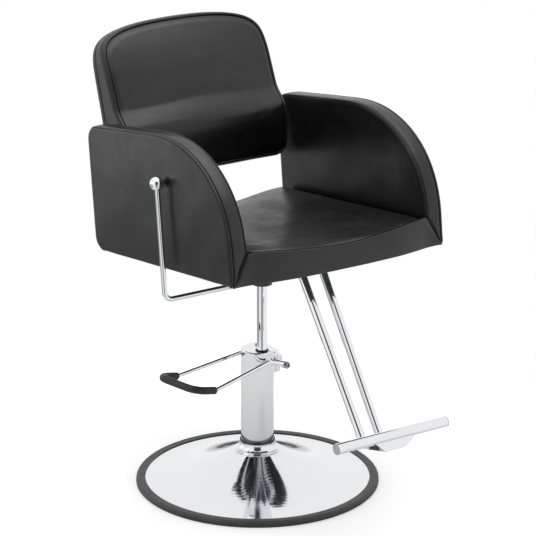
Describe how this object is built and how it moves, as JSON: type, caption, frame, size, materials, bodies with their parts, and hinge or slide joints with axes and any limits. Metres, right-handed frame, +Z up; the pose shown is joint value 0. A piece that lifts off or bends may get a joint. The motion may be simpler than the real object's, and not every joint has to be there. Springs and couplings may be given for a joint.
{
  "type": "hydraulic salon chair",
  "caption": "Upholstered tub seat with round arms and a reclining back on a foot-pumped ram, round weighted base, pedal, release lever and T-bar footrest.",
  "frame": {"origin": "centre of the round base, on the floor", "axes": "+Z up, the front of the chair faces -Y, +X to the right as seen from the front"},
  "size_m": [0.6184, 0.9335, 1.0687],
  "materials": {
    "chrome": "polished",
    "ring_rubber": "matt",
    "grip_rubber": "satin",
    "seal_rubber": "matt",
    "cast_iron": "rough",
    "bright_steel": "turned",
    "black_steel": "satin",
    "leatherette": "satin",
    "foam_leatherette": "satin",
    "board": "plain",
    "cover_felt": "matt"
  },
  "bodies": {
    "base": {"base_disc": "chrome", "base_ring": "ring_rubber", "base_weight": "cast_iron", "base_bottom_plate": "bright_steel", "base_collar": "chrome", "collar_seal": "seal_rubber", "flange_bolts": "bright_steel", "pump_tube": "chrome", "ram_barrel": "bright_steel", "pump_head": "chrome", "filler_screw": "bright_steel", "wiper_seal": "seal_rubber", "pedal_bracket": "bright_steel", "bracket_screws": "bright_steel", "plunger_guide": "bright_steel"},
    "pedal": {"pedal_rod": "chrome", "pedal_grip": "grip_rubber", "pedal_shaft": "bright_steel", "shaft_screws": "bright_steel", "pedal_rocker": "bright_steel"},
    "plunger": {"plunger": "bright_steel"},
    "ram": {"ram": "chrome", "piston": "bright_steel", "piston_seal": "seal_rubber"},
    "seat": {"seat_hub": "black_steel", "seat_plate": "black_steel", "plate_bolts": "bright_steel", "recline_channel": "black_steel", "seat_board": "board", "seat_cushion": "foam_leatherette", "front_border": "leatherette", "dust_cover": "cover_felt", "left_arm_board": "board", "right_arm_board": "board", "left_arm_outer_pad": "foam_leatherette", "right_arm_outer_pad": "foam_leatherette", "left_arm_inner_pad": "foam_leatherette", "right_arm_inner_pad": "foam_leatherette", "left_arm_band": "leatherette", "right_arm_band": "leatherette", "left_footrest_tube": "chrome", "right_footrest_tube": "chrome", "tube_clamp": "black_steel", "clamp_screws": "bright_steel", "foot_block": "chrome", "foot_bar": "chrome", "bar_plugs": "grip_rubber", "gas_cylinder": "black_steel", "gas_anchor": "black_steel", "hinge_pin": "bright_steel"},
    "back": {"back_bar": "black_steel", "link_pin": "bright_steel", "back_plate": "black_steel", "back_bolts": "bright_steel", "back_rear_panel": "board", "back_cushion": "foam_leatherette"},
    "gas_rod": {"gas_rod": "bright_steel"},
    "lever": {"lever_rod": "chrome", "lever_ball": "chrome", "lever_cam": "bright_steel"}
  },
  "joints": [
    {"name": "pedal_pivot", "type": "hinge", "parent": "base", "child": "pedal", "pos_m": [0.04629, 0.00816, 0.293], "axis": [0.1736, -0.9848, 0], "range_deg": [0, 16], "stiffness_Nm_per_rad": 4, "springref_deg": -22.92},
    {"name": "plunger_slide", "type": "slide", "parent": "base", "child": "plunger", "axis": [0, 0, -1], "range_m": [0, 0.005]},
    {"name": "lift", "type": "slide", "parent": "base", "child": "ram", "axis": [0, 0, 1], "range_m": [-0.145, 0]},
    {"name": "swivel", "type": "hinge", "parent": "ram", "child": "seat", "pos_m": [0, -0.02, 0.5], "axis": [0, 0, 1], "continuous": true},
    {"name": "recline", "type": "hinge", "parent": "seat", "child": "back", "pos_m": [0, 0.21263, 0.5498], "axis": [-1, 0, 0], "range_deg": [0, 28]},
    {"name": "gas_slide", "type": "slide", "parent": "seat", "child": "gas_rod", "axis": [0, -0.9938, 0.1115], "range_m": [0, 0.0168]},
    {"name": "release_lever", "type": "hinge", "parent": "seat", "child": "lever", "pos_m": [0, -0.09587, 0.54013], "axis": [-1, 0, 0], "range_deg": [0, 12], "stiffness_Nm_per_rad": 1.5, "springref_deg": -17.19}
  ],
  "couplings": [
    {"joint": "plunger_slide", "follows": "pedal_pivot", "m_per_rad": 0.017},
    {"joint": "gas_slide", "follows": "recline", "m_per_rad": 0.03366}
  ]
}
